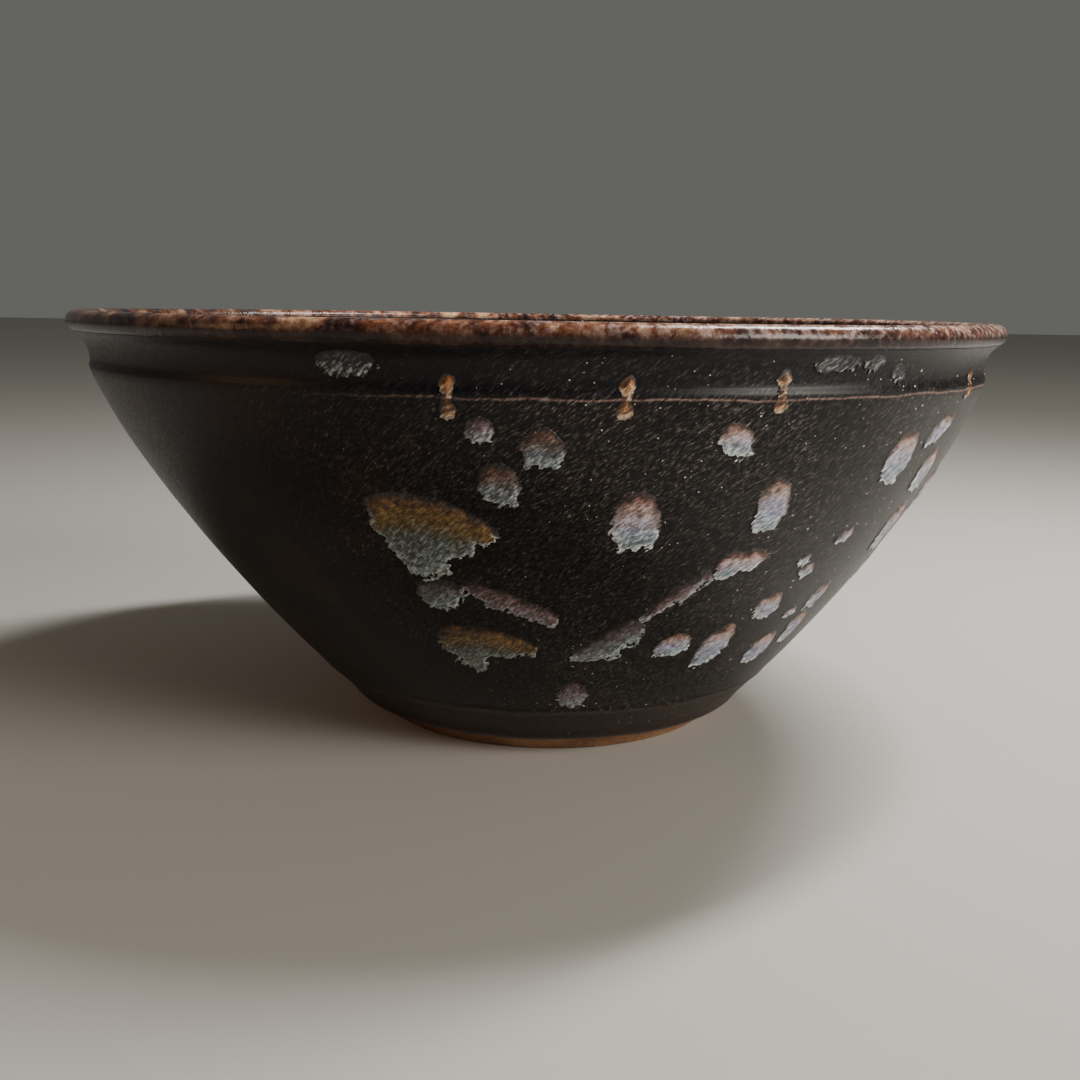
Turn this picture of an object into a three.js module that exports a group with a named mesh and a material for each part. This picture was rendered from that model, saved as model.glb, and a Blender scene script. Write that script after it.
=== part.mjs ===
// A matcha bowl: dark stoneware thrown on the wheel, with a wide open mouth, a rolled lip, a short
// neck over a ridge line, and a wall that curves in to a small turned foot. A near-black glaze
// covers it inside and out, and islands of a second, pale ash glaze lie on the outside.
// Millimetres and degrees. +Z is up and the table is at z = 0, under the middle of the mouth.
import * as THREE from "three";

// Overall size
const MOUTH_DIAMETER = 150; // over the rolled lip, glaze included
const HEIGHT = 66.7; // table to the top of the lip

// Lip and neck
const LIP_BEAD = 3.2; // thickness of the rolled lip, glaze included
const LIP_OVERHANG = 3.05; // how far the lip stands out past the ridge
const NECK_HEIGHT = 9.2; // ridge line to the top of the lip
const NECK_LEAN = 95; // angle at which the neck leaves the ridge, from level
const NECK_REACH = 3.2; // how long the neck keeps that angle
const LIP_UNDERSIDE = -68; // where on the bead the neck meets it, from level
const FLARE_REACH = 1.8; // how softly the neck flares into the lip

// Foot
const FOOT_DIAMETER = 57.4;
const FOOT_RING_WIDTH = 4.6; // the flat face that the bowl stands on
const FOOT_RING_BEVEL = 0.8; // turned edge inside the ring
const RECESS_DEPTH = 5.4;
const RECESS_NUB = 0.8; // the low point that the turning tool leaves in the middle

// Wall of bare clay
const WALL_FOOT_ANGLE = 41.6; // slope where the wall leaves the foot
const WALL_FOOT_REACH = 26.3; // how far that slope carries
const WALL_RIDGE_ANGLE = 73.1; // slope where the wall meets the ridge
const WALL_RIDGE_REACH = 11;
const WALL_AT_RIDGE = 2.8; // clay thickness
const WALL_AT_FOOT = 6;
const FLOOR_THICKNESS = 4.2; // clay over the recess
const FLOOR_START = 0.25; // share of the wall, from the foot, where the floor's curve takes over
const FLOOR_EDGE_REACH = 9; // how softly the wall turns into the floor
const FLOOR_MIDDLE_REACH = 20; // how flat the floor is

// Glaze
const GLAZE = 0.6; // thickness of a coat
const BOND_GAP = 0.05; // clearance that keeps each coat a solid of its own
const GLAZE_LINE = 3.6; // the outside glaze stops this high, and bare clay shows below
const LIP_COAT_ANGLE = 180; // the lip's coat ends here on the bead, on the inner side

// Islands of ash glaze
const SPLASH = 0.5; // thickness in the middle
const SPLASH_EDGE = 0.15; // thickness at the outline
const SPLASH_GAP = 0.2; // clearance to the glaze below

// The bowl sits off centre on its foot, as thrown
const FOOT_OFFSET = 2.6;

// Fineness
const TURNS = 40; // facets round the bowl
const WALL_STEPS = 8;
const NECK_STEPS = 4;
const INSIDE_STEPS = 6;
const FLOOR_STEPS = 4;
const FACE_STEPS = 80; // of the fine curve that the islands lie on
const BEAD_ANGLES = [LIP_UNDERSIDE, -34, 0, 45, 90, 135, LIP_COAT_ANGLE];

const COAT = GLAZE + BOND_GAP;
const radians = THREE.MathUtils.degToRad;

function point(x, y) {
  return new THREE.Vector2(x, y);
}

function arrow(angle, length) {
  return point(Math.cos(radians(angle)) * length, Math.sin(radians(angle)) * length);
}

// ---- Section through the bowl: x is the radius, y the height ----

const clayBead = LIP_BEAD / 2 - COAT;
const beadMiddle = point((MOUTH_DIAMETER - LIP_BEAD) / 2, HEIGHT - LIP_BEAD / 2);
const ridge = point(MOUTH_DIAMETER / 2 - LIP_OVERHANG - COAT, HEIGHT - NECK_HEIGHT);
const footEdge = point(FOOT_DIAMETER / 2, 0);
const neckTop = beadMiddle.clone().add(arrow(LIP_UNDERSIDE, clayBead));

const wall = new THREE.CubicBezierCurve(
  footEdge,
  footEdge.clone().add(arrow(WALL_FOOT_ANGLE, WALL_FOOT_REACH)),
  ridge.clone().sub(arrow(WALL_RIDGE_ANGLE, WALL_RIDGE_REACH)),
  ridge,
);

const neck = new THREE.CubicBezierCurve(
  ridge,
  ridge.clone().add(arrow(NECK_LEAN, NECK_REACH)),
  neckTop.clone().sub(arrow(LIP_UNDERSIDE + 90, FLARE_REACH)),
  neckTop,
);

// The outside of the clay from the foot to the lip.
function outsideClay(wallSteps, neckSteps) {
  return [...wall.getSpacedPoints(wallSteps), ...neck.getSpacedPoints(neckSteps).slice(1)];
}

// The inside of the clay at a share of the wall, from the foot: the wall's thickness away from it.
function insideClayAt(share) {
  const along = wall.getTangentAt(share);
  const thickness = THREE.MathUtils.lerp(WALL_AT_FOOT, WALL_AT_RIDGE, share);
  return wall.getPointAt(share).add(point(-along.y, along.x).multiplyScalar(thickness));
}

// The inside of the clay from the lip down to the middle of the floor.
function insideClay() {
  const beadEnd = beadMiddle.clone().add(arrow(LIP_COAT_ANGLE, clayBead));
  const wallTop = insideClayAt(1);
  const shoulder = new THREE.CubicBezierCurve(
    beadEnd,
    beadEnd.clone().add(arrow(-90, beadEnd.distanceTo(wallTop) / 3)),
    wallTop.clone().add(arrow(WALL_RIDGE_ANGLE, beadEnd.distanceTo(wallTop) / 3)),
    wallTop,
  );
  const floorEdge = insideClayAt(FLOOR_START);
  const floorMiddle = point(0, RECESS_DEPTH + FLOOR_THICKNESS);
  const slope = wall.getTangentAt(FLOOR_START);
  const floor = new THREE.CubicBezierCurve(
    floorEdge,
    floorEdge.clone().sub(slope.multiplyScalar(FLOOR_EDGE_REACH)),
    floorMiddle.clone().add(point(FLOOR_MIDDLE_REACH, 0)),
    floorMiddle,
  );
  const sides = [];
  for (let step = 1; step < INSIDE_STEPS; step += 1) {
    sides.push(insideClayAt(THREE.MathUtils.lerp(1, FLOOR_START, step / INSIDE_STEPS)));
  }
  return [...shoulder.getPoints(NECK_STEPS), ...sides, ...floor.getPoints(FLOOR_STEPS)];
}

// Moves a path off the clay, to the side of the air.
function lifted(path, distance) {
  return path.map((here, i) => {
    const before = path[Math.max(i - 1, 0)];
    const after = path[Math.min(i + 1, path.length - 1)];
    const along = after.clone().sub(before).normalize();
    const x = here.x === 0 ? 0 : here.x + along.y * distance;
    return point(x, here.y - along.x * distance);
  });
}

// Takes a little off both ends of a path, but not off an end that is on the axis.
function trimmed(path, length) {
  const cut = path.map((p) => p.clone());
  const last = cut.length - 1;
  const pull = (end, next) => end.add(next.clone().sub(end).setLength(length));
  pull(cut[0], path[1]);
  if (path[last].x > 0) pull(cut[last], path[last - 1]);
  return cut;
}

// The stretch of a path above a height.
function above(path, height) {
  const first = path.findIndex((p) => p.y > height);
  const [below, over] = [path[first - 1], path[first]];
  const start = below.clone().lerp(over, (height - below.y) / (over.y - below.y));
  return [start, ...path.slice(first)];
}

// ---- Making solids ----

// Leans everything sideways, so that the foot is off centre and the mouth stays in the middle.
const lean = FOOT_OFFSET / beadMiddle.y;
const leaning = new THREE.Matrix4()
  .makeShear(0, 0, 0, 0, -lean, 0)
  .premultiply(new THREE.Matrix4().makeTranslation(FOOT_OFFSET, 0, 0));

function turned(profile) {
  return new THREE.LatheGeometry(profile, TURNS).rotateX(Math.PI / 2).applyMatrix4(leaning);
}

// A coat of glaze over a stretch of clay: a turned ring, or a dish where the stretch ends on the axis.
function coat(path) {
  const clean = trimmed(path, BOND_GAP / 2);
  const outer = lifted(clean, COAT);
  const inner = lifted(clean, BOND_GAP).reverse();
  const isDish = clean.at(-1).x === 0;
  return turned(isDish ? [...inner, ...outer] : [...outer, ...inner, outer[0]]);
}

const glazedOutside = above(outsideClay(WALL_STEPS, NECK_STEPS), GLAZE_LINE);
const bead = BEAD_ANGLES.map((angle) => beadMiddle.clone().add(arrow(angle, clayBead)));
const inside = insideClay();

function clayBody() {
  const ringInside = FOOT_DIAMETER / 2 - FOOT_RING_WIDTH;
  const recess = [
    point(0, RECESS_DEPTH - RECESS_NUB),
    point(ringInside / 2, RECESS_DEPTH),
    point(ringInside - FOOT_RING_BEVEL, RECESS_DEPTH),
    point(ringInside - FOOT_RING_BEVEL, FOOT_RING_BEVEL),
    point(ringInside, 0),
  ];
  const outside = outsideClay(WALL_STEPS, NECK_STEPS);
  return turned([...recess, ...outside, ...bead.slice(1), ...inside.slice(1)]);
}

// The outer face of the outside glaze, from under the lip (0) down to the glaze line (1).
const face = new THREE.SplineCurve(
  lifted(above(outsideClay(FACE_STEPS, FACE_STEPS / NECK_STEPS), GLAZE_LINE), COAT).reverse(),
);

// A place on that face: turn goes round from the front to the right, drop is the percentage of
// the way down, and lift is the distance off the glaze.
function onWall(turn, drop, lift) {
  const down = face.getTangentAt(drop / 100);
  const place = face.getPointAt(drop / 100).add(point(-down.y, down.x).multiplyScalar(lift));
  const angle = radians(turn);
  return new THREE.Vector3(place.x * Math.sin(angle), -place.x * Math.cos(angle), place.y);
}

// A low domed island: a middle and two rings of corners, the outer one on the outline.
function island(outline) {
  const count = outline.length;
  const middle = [0, 1].map((i) => outline.reduce((sum, corner) => sum + corner[i], 0) / count);
  const rings = [
    { reach: 0, height: SPLASH },
    { reach: 0.6, height: (SPLASH + SPLASH_EDGE) / 2 + SPLASH_EDGE },
    { reach: 1, height: SPLASH_EDGE },
  ];
  const corners = [];
  const faces = [];
  for (const side of [1, 0]) {
    const first = corners.length;
    for (const { reach, height } of rings) {
      for (const corner of reach === 0 ? [middle] : outline) {
        const [turn, drop] = middle.map((m, i) => m + (corner[i] - m) * reach);
        corners.push(onWall(turn, drop, SPLASH_GAP + height * side));
      }
    }
    for (let i = 0; i < count; i += 1) {
      const next = (i + 1) % count;
      const [a, b] = [first + 1 + i, first + 1 + next];
      const [c, d] = [a + count, b + count];
      const patch = [[first, b, a], [a, b, d], [a, d, c]];
      for (const [p, q, r] of patch) faces.push(...(side ? [p, q, r] : [p, r, q]));
    }
  }
  const top = 1 + count;
  const bottom = top + 1 + 2 * count;
  for (let i = 0; i < count; i += 1) {
    const next = (i + 1) % count;
    faces.push(top + i, bottom + next, bottom + i, top + i, top + next, bottom + next);
  }
  return new THREE.BufferGeometry()
    .setAttribute(
      "position",
      new THREE.Float32BufferAttribute(corners.flatMap((c) => c.toArray()), 3),
    )
    .setIndex(faces)
    .applyMatrix4(leaning);
}

// ---- Outlines of the islands, as [turn, drop] corners taken clockwise as seen from outside ----

// Shapes in a box from -1 to 1, with the top at -1: a drop has a round head and a ragged lower
// end, a run is narrow where it crosses the ridge, and a fleck is a plain spot.
const DROP = [
  [0, -1], [0.62, -0.8], [0.95, -0.3], [1, 0.2], [0.74, 0.58], [0.7, 0.9], [0.3, 0.8],
  [0, 1], [-0.32, 0.82], [-0.66, 0.94], [-0.8, 0.5], [-1, 0.08], [-0.92, -0.42], [-0.52, -0.84],
];
const RUN = [
  [0.1, -1], [0.9, -0.72], [0.6, -0.3], [0.5, 0.1], [1, 0.5], [0.5, 0.86],
  [-0.2, 1], [-0.8, 0.7], [-0.6, 0.2], [-0.45, -0.25], [-0.9, -0.6],
];
const FLECK = [
  [0, -1], [0.7, -0.7], [1, 0], [0.7, 0.75], [0.1, 1], [-0.7, 0.75], [-1, 0.1], [-0.75, -0.65],
];

// Places a shape: its middle, its width in degrees, its length in percent of the wall, and the
// slant, in degrees, by which its lower end is turned from its middle.
function placed(shape, turn, drop, wide, long, slant = 0) {
  return shape.map(([x, y]) => [turn + (x * wide) / 2 + y * slant, drop + (y * long) / 2]);
}

const islands = {
  // The broad splash on the left of the front, with its lobe, its tail and the bar below it
  splash_fan: [
    [-14.7, 26.7], [-10, 28.6], [-7.4, 30.6], [-4.2, 35.4], [-8.3, 38.3], [-10.5, 41.5],
    [-12.5, 45], [-14.8, 46.4], [-16.2, 44.5], [-18.4, 38.8], [-19.4, 32], [-19.2, 28.2],
  ],
  splash_fan_lobe: [
    [-14.5, 47.5], [-11.8, 47.3], [-10.9, 50], [-12.2, 53], [-14.4, 54.8], [-16.1, 53.3],
    [-16.6, 48.5],
  ],
  splash_fan_tail: [
    [-10.1, 46.6], [-6, 48.8], [-1.5, 52.3], [1.6, 55], [1.1, 57.8], [-2.5, 55.9], [-6, 52.9],
    [-9.7, 49.8],
  ],
  splash_bar: [
    [-11, 59], [-6.4, 60.1], [-1.4, 63.4], [-1.9, 67], [-5.5, 66.8], [-8.8, 68.4],
    [-10.9, 73.2], [-13, 71.8], [-15, 69.2], [-15.9, 64.6], [-15.4, 59.6],
  ],
  // The streak that rises to the right, in two stretches
  splash_streak_low: [
    [10.4, 60.4], [13, 57.6], [14.2, 58.8], [13.2, 62], [12.4, 65], [9, 67.9], [6, 68],
    [4.8, 66.2], [7.2, 63.6],
  ],
  splash_streak_high: [
    [18.6, 48], [20.6, 44.4], [22, 45.6], [20.4, 49], [17.5, 52.6], [15, 56.6], [14, 55.6],
    [15.8, 52.4],
  ],
  splash_pair: [
    [23.3, 39.4], [25.5, 40.3], [27.1, 39.8], [29.3, 41], [29.2, 43.8], [28, 45.2],
    [26.3, 44.6], [24.8, 47.2], [22.7, 46.2], [21.8, 43.5],
  ],
  // Drops on the front and the right
  splash_left_top: placed(DROP, -5.6, 14.2, 2.5, 4.8),
  splash_left_middle: placed(DROP, -4.2, 24.4, 4.2, 8.4),
  splash_left_high: placed(DROP, 0.2, 17.3, 3.9, 7.4),
  splash_front: placed(DROP, 10.4, 32.2, 5.4, 13.4, 0.3),
  splash_front_small: placed(DROP, 19.6, 15.8, 3.8, 5.8, 0.4),
  splash_front_low: placed(DROP, 5.1, 81, 5.6, 9.8),
  splash_right_1: placed(DROP, 26.6, 29.8, 4.3, 12.6, 0.4),
  splash_right_2: placed(DROP, 44.8, 21.8, 5.6, 11.8),
  splash_right_3: placed(DROP, 20.8, 65.3, 5.8, 7.2, -0.8),
  splash_right_4: placed(DROP, 29.2, 67.2, 5.8, 13.6, -1),
  splash_right_5: placed(DROP, 35.6, 56.8, 5.2, 7.8),
  splash_right_6: placed(DROP, 42.6, 71.4, 6, 10.4, -0.2),
  splash_right_7: placed(DROP, 52.4, 16.4, 4.4, 6.6, -1.6),
  splash_right_8: placed(DROP, 55.4, 26.2, 4.6, 10.2, 0.5),
  splash_right_9: placed(DROP, 57.6, 40.4, 5, 13.6, 0.6),
  splash_right_10: placed(DROP, 48.6, 57.2, 3.8, 8, -0.4),
  splash_right_11: placed(DROP, 49.4, 66.4, 4.6, 9.4, 0.8),
  fleck_1: placed(FLECK, 37, 44.2, 2, 2.8),
  fleck_2: placed(FLECK, 39, 47.4, 2.8, 3.4),
  fleck_3: placed(FLECK, 42.9, 39.4, 2.6, 3.8, -0.5),
  fleck_4: placed(FLECK, 43.2, 60.4, 2.6, 2.8, -0.4),
  // Amber runs that start under the lip and break over the ridge
  run_1: placed(RUN, -8.4, 8.7, 1.8, 8, -0.1),
  run_2: placed(RUN, 7.9, 8.6, 1.9, 7.6, -0.2),
  run_3: placed(RUN, 23.5, 7.6, 2, 7.6, -0.2),
  run_4: placed(RUN, 56.2, 7.6, 2.4, 6.4, -0.5),
  // Pale bloom under the lip
  bloom_1: placed(DROP, -17.8, 3.6, 5.8, 4.4),
  bloom_2: placed(DROP, 29.6, 2.8, 5.8, 3.4),
  bloom_3: placed(DROP, 34.6, 2.6, 2.8, 2.8),
  bloom_4: placed(FLECK, 38.9, 4.9, 2, 3),
  // Round the right side and the back
  splash_back_1: placed(DROP, 66, 32.5, 4.4, 11, 0.4),
  splash_back_2: placed(DROP, 71, 54, 5.6, 10, -0.5),
  splash_back_3: placed(DROP, 80, 20.5, 5, 9, 0.3),
  splash_back_4: placed(DROP, 88, 42, 4.2, 12.5, 0.5),
  splash_back_5: placed(DROP, 97, 66, 6, 9, -0.6),
  splash_back_6: placed(DROP, 109, 27, 4.8, 10.5, 0.2),
  splash_back_7: placed(DROP, 126, 49, 5.4, 12, -0.4),
  splash_back_8: placed(DROP, 149, 30, 4, 8, 0.3),
  splash_back_9: placed(DROP, 176, 57, 5.2, 8.5, 0.4),
  splash_back_10: placed(DROP, 214, 35, 3.8, 7.5, -0.3),
  run_5: placed(RUN, 74, 8, 1.9, 7.2, -0.2),
  run_6: placed(RUN, 106, 8.4, 2.1, 7.8, 0.2),
  run_7: placed(RUN, 141, 8, 1.8, 7, -0.1),
};

// ---- The bowl ----

const stoneware = new THREE.MeshStandardMaterial({ color: 0x8a5a38, roughness: 0.85 });
const blackGlaze = new THREE.MeshStandardMaterial({ color: 0x17110f, roughness: 0.22 });
const rustGlaze = new THREE.MeshStandardMaterial({ color: 0x5b3527, roughness: 0.25 });
const ashGlaze = new THREE.MeshStandardMaterial({ color: 0x9c9aa6, roughness: 0.35 });
const amberGlaze = new THREE.MeshStandardMaterial({ color: 0x9a5f30, roughness: 0.3 });

const bowl = new THREE.Group();

function add(name, geometry, material) {
  const mesh = new THREE.Mesh(geometry, material);
  mesh.name = name;
  bowl.add(mesh);
}

add("clay_body", clayBody(), stoneware);
add("outside_glaze", coat(glazedOutside), blackGlaze);
add("lip_glaze", coat(bead), rustGlaze);
add("inside_glaze", coat(inside), blackGlaze);
for (const [name, outline] of Object.entries(islands)) {
  add(name, island(outline), name.startsWith("run") ? amberGlaze : ashGlaze);
}

export default bowl;
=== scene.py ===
# %% [markdown]
# # A matcha bowl in black iron glaze
#
# The real bowl is thrown on a wheel from dark stoneware, turned at the foot, dipped in a thick
# iron glaze, and flicked with a second, pale ash glaze. In the kiln the iron glaze melts to a
# near-black that breaks to rust wherever it is thin, and the ash glaze freezes as pale islands.
#
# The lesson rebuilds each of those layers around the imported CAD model, which fixes every size
# and place. Blender only adds what the CAD leaves out: the fine surface and the finish.

import math

import bmesh
import bpy
import numpy as np
from mathutils import Matrix, Vector, noise


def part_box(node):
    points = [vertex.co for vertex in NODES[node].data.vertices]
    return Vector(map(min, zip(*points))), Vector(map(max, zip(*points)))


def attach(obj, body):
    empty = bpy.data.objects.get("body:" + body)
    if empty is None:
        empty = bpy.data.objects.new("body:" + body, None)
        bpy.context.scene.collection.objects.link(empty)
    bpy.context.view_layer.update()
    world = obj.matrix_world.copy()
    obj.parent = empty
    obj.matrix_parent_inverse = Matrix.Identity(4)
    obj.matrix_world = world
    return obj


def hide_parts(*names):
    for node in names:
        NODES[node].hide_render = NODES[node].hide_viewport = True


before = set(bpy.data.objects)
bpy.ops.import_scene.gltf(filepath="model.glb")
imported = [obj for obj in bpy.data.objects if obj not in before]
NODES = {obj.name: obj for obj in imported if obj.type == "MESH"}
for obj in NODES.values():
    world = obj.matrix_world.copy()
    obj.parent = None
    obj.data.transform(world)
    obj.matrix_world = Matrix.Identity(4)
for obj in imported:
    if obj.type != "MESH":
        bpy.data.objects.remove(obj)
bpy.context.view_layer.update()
MM = 0.001
print(len(NODES), "CAD nodes")

# %% [markdown]
# ## Finding the bowl's own axis
#
# A bowl is made by turning, so it is easiest to model upright on the Z axis. This one leans a
# little: its foot is off centre under the mouth. The lean is read from the CAD as two centres,
# that of the foot's face and that of the lip's widest ring. A shear between them stands the
# bowl upright to be worked on, and its inverse leans each finished piece again.

# %% The lean
foot_face = [v.co.x for v in NODES["clay_body"].data.vertices if v.co.z < 0.01 * MM]
FOOT_X = (min(foot_face) + max(foot_face)) / 2
FOOT_RADIUS = (max(foot_face) - min(foot_face)) / 2
LIP_Z = max(NODES["lip_glaze"].data.vertices, key=lambda v: v.co.x).co.z

LEAN = Matrix(((1, 0, -FOOT_X / LIP_Z, FOOT_X), (0, 1, 0, 0), (0, 0, 1, 0), (0, 0, 0, 1)))
UPRIGHT = LEAN.inverted()
print(f"foot radius {FOOT_RADIUS / MM:.1f} mm, {FOOT_X / MM:.1f} mm off centre")

# %% [markdown]
# ## Reading a section
#
# Every turned CAD node has a ring of corners at each height, and one corner of each ring lies
# straight in front. Those corners, walked along the edges that join them, are the section that
# a potter's rib would cut. The section is only as fine as the CAD, so it is then drawn again as
# a smooth curve through the same points, with its sharp corners kept.

# %% Sections
ON_PLANE = 0.01 * MM
CORNER = math.radians(60)  # a sharper turn than this stays a corner


def walk(start, line):
    """Follows edges from start through the vertices in line."""
    path, here = [start], start
    while True:
        beside = [e.other_vert(here) for e in here.link_edges]
        on_line = [v for v in beside if v in line and v not in path]
        if not on_line:
            return path
        here = min(on_line, key=lambda v: (v.co - here.co).length)
        path.append(here)


def merged(node):
    """A CAD node stood upright, with the corners of its loose triangles joined."""
    mesh = NODES[node].data.copy()
    mesh.transform(UPRIGHT)
    bm = bmesh.new()
    bm.from_mesh(mesh)
    bpy.data.meshes.remove(mesh)
    bmesh.ops.remove_doubles(bm, verts=bm.verts, dist=0.001 * MM)
    return bm


def section(node):
    """The outline of a turned node, as (radius, height) points in order."""
    bm = merged(node)
    line = {v for v in bm.verts if abs(v.co.x) < ON_PLANE and v.co.y < ON_PLANE}
    start = min(line, key=lambda v: (-v.co.y > ON_PLANE, v.co.z, v.co.y))
    points = [Vector((max(-v.co.y, 0.0), v.co.z)) for v in walk(start, line)]
    bm.free()
    return points


def turning(before, here, after):
    """The angle by which a path turns at a point."""
    return (here - before).angle(after - here, 0)


def smooth(points, step):
    """A curve through the points, with a point about every step (a Catmull-Rom spline)."""
    ends = [2 * points[0] - points[1], *points, 2 * points[-1] - points[-2]]
    curve = []
    for i in range(1, len(ends) - 2):
        a, b, c, d = ends[i - 1 : i + 3]
        pieces = max(1, round((c - b).length / step))
        for k in range(pieces):
            t = k / pieces
            bend = (2 * a - 5 * b + 4 * c - d) * t + (3 * b - a - 3 * c + d) * t * t
            curve.append(b + 0.5 * t * ((c - a) + bend))
    return [*curve, points[-1]]


def corners(points):
    """Where a path has its corners, as indices."""
    inner = range(1, len(points) - 1)
    return [i for i in inner if turning(*points[i - 1 : i + 2]) > CORNER]


print({n: len(section(n)) for n in ("clay_body", "outside_glaze", "lip_glaze")})

# %% [markdown]
# ## The outside face
#
# The streaks, the islands and the ridge all lie on the outside of the glaze, so that face gets
# a ruler of its own: `down` is the distance along it from under the lip. A real wall isn't a
# perfect cone either. The wheel and the hand leave shallow swells of about a tenth of a
# millimetre, which bend the reflections, so the face has them as real shape.

# %% The outside face as a ruler
outside_loop = section("outside_glaze")


def outer_face(loop):
    """The longest run of a coat's outline between corners, on its air side."""
    count = len(loop)
    marks = [i for i in range(count) if turning(loop[i - 1], loop[i], loop[(i + 1) % count]) > CORNER]
    runs = []
    for first, last in zip(marks, marks[1:] + [marks[0] + count]):
        runs.append([loop[i % count] for i in range(first, last + 1)])
    long_runs = sorted(runs, key=len)[-2:]
    return max(long_runs, key=lambda run: sum(p.x for p in run) / len(run))


def from_top(path):
    """The same path, starting at its higher end."""
    return path if path[0].y > path[-1].y else path[::-1]


FACE = smooth(from_top(outer_face(outside_loop)), 0.25 * MM)
face_r = np.array([p.x for p in FACE])
face_z = np.array([p.y for p in FACE])
face_down = np.concatenate([[0], np.cumsum(np.hypot(np.diff(face_r), np.diff(face_z)))])
FACE_LENGTH = face_down[-1]
print(f"the outside face is {FACE_LENGTH / MM:.1f} mm long")

# %% Swells, and places on the face
SWELL, SWELL_HEIGHT = 0.09 * MM, 22 * MM  # broad swells: how far in, and how high each is
RING, RING_HEIGHT = 0.05 * MM, 4.5 * MM  # throwing rings, the same


def swell(turn, z):
    """How far the hand-thrown wall swells, in metres. It only ever goes inwards."""
    around = Vector((math.cos(turn), math.sin(turn), 0)) * 1.3
    broad = noise.noise(around + Vector((0, 0, z / SWELL_HEIGHT)))
    rings = noise.noise(around * 0.6 + Vector((7, 0, z / RING_HEIGHT)))
    return SWELL * (broad - 1) + RING * (rings - 1)


def how_far_down(co):
    """The distance down the outside face of the point on it that is nearest to co."""
    r = math.hypot(co.x, co.y)
    return float(face_down[np.argmin((face_r - r) ** 2 + (face_z - co.z) ** 2)])


def on_face(turn, down, lift=0.0):
    """A point on the leaning outside face: turn in radians from the front to the right."""
    r = np.interp(down, face_down, face_r)
    z = np.interp(down, face_down, face_z)
    step = 0.3 * MM
    dr = np.interp(down + step, face_down, face_r) - np.interp(down - step, face_down, face_r)
    dz = np.interp(down + step, face_down, face_z) - np.interp(down - step, face_down, face_z)
    size = math.hypot(dr, dz)
    out = lift + swell(turn, z)
    r, z = r - dz / size * out, z + dr / size * out
    return LEAN @ Vector((r * math.sin(turn), -r * math.cos(turn), z))


print("halfway down in front is", [round(c / MM, 1) for c in on_face(0, FACE_LENGTH / 2)], "mm")

# %% [markdown]
# ## Spinning the layers
#
# Lathe work in Blender is one operator: draw half the outline as edges and **spin** it through
# a full turn. The first and last ring then meet, so doubles are merged, and because a spin can
# come out inside out, the normals are made consistent. This is done for the clay and for each
# coat of glaze, which is how the real layers nest. A primitive could be pushed into the same
# shape, but a spun section keeps the exact profile of the CAD.

# %% Spinning
SPIN_STEPS = 240
EDGE_ROUND = 0.25 * MM  # how far a coat's edge is rounded by melting


def only(obj):
    """Selects one object and makes it active, with everything else deselected."""
    if bpy.context.object and bpy.context.object.mode == "EDIT":
        bpy.ops.object.mode_set(mode="OBJECT")
    bpy.ops.object.select_all(action="DESELECT")
    obj.select_set(True)
    bpy.context.view_layer.objects.active = obj


def apply_all(obj):
    """Applies every modifier in order."""
    only(obj)
    for modifier in list(obj.modifiers):
        bpy.ops.object.modifier_apply(modifier=modifier.name)


def spun(name, outline, closed):
    """Spins an outline of (radius, height) points round the upright axis."""
    count = len(outline)
    joins = [(i, i + 1) for i in range(count - 1)] + ([(count - 1, 0)] if closed else [])
    mesh = bpy.data.meshes.new(name)
    mesh.from_pydata([(0, -p.x, p.y) for p in outline], joins, [])
    obj = bpy.data.objects.new(name, mesh)
    bpy.context.scene.collection.objects.link(obj)
    only(obj)
    bpy.ops.object.mode_set(mode="EDIT")
    bpy.ops.mesh.select_all(action="SELECT")
    bpy.ops.mesh.spin(steps=SPIN_STEPS, angle=math.tau, center=(0, 0, 0), axis=(0, 0, 1))
    bpy.ops.mesh.select_all(action="SELECT")
    bpy.ops.mesh.remove_doubles(threshold=0.002 * MM)
    bpy.ops.mesh.normals_make_consistent(inside=False)
    bpy.ops.object.mode_set(mode="OBJECT")
    bpy.ops.object.shade_smooth_by_angle(angle=math.radians(50))
    return obj


def arc(before, here, after, reach, pieces):
    """The short curve that takes a corner's place, from reach before it to reach after it."""
    start = here + (before - here).normalized() * reach
    end = here + (after - here).normalized() * reach
    shares = [k / pieces for k in range(pieces + 1)]
    return [start * (1 - t) ** 2 + here * 2 * t * (1 - t) + end * t * t for t in shares]


def rounded(points, radius):
    """The outline with each of its corners made a short arc."""
    marks = set(corners(points))
    soft = []
    for i, here in enumerate(points):
        if i not in marks:
            soft.append(here)
            continue
        reach = min(radius, *((points[j] - here).length * 0.45 for j in (i - 1, i + 1)))
        soft += arc(points[i - 1], here, points[i + 1], reach, 4)
    return soft


def finished_coat(name, node, step):
    """A coat of glaze, spun from the CAD's section with its faces smoothed and its ends round."""
    loop = section(node)
    open_at_axis = min(p.x for p in loop) < ON_PLANE
    if open_at_axis:
        path = loop
    else:
        count = len(loop)
        first = next(i for i in range(count)
                     if turning(loop[i - 1], loop[i], loop[(i + 1) % count]) > CORNER)
        path = [loop[(first + k) % count] for k in range(count + 1)]
    marks = [0, *corners(path), len(path) - 1]
    fine = []
    for start, end in zip(marks, marks[1:]):
        stretch = path[start : end + 1]
        fine += smooth(stretch, step)[:-1] if len(stretch) > 2 else stretch[:-1]
    fine.append(path[-1])
    if open_at_axis:
        return spun(name, rounded(fine, EDGE_ROUND), closed=False)
    middle = len(fine) // 2
    loop_again = fine[middle:-1] + fine[: middle + 1]
    return spun(name, rounded(loop_again, EDGE_ROUND)[:-1], closed=True)


print("spinning at", SPIN_STEPS, "steps")

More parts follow.
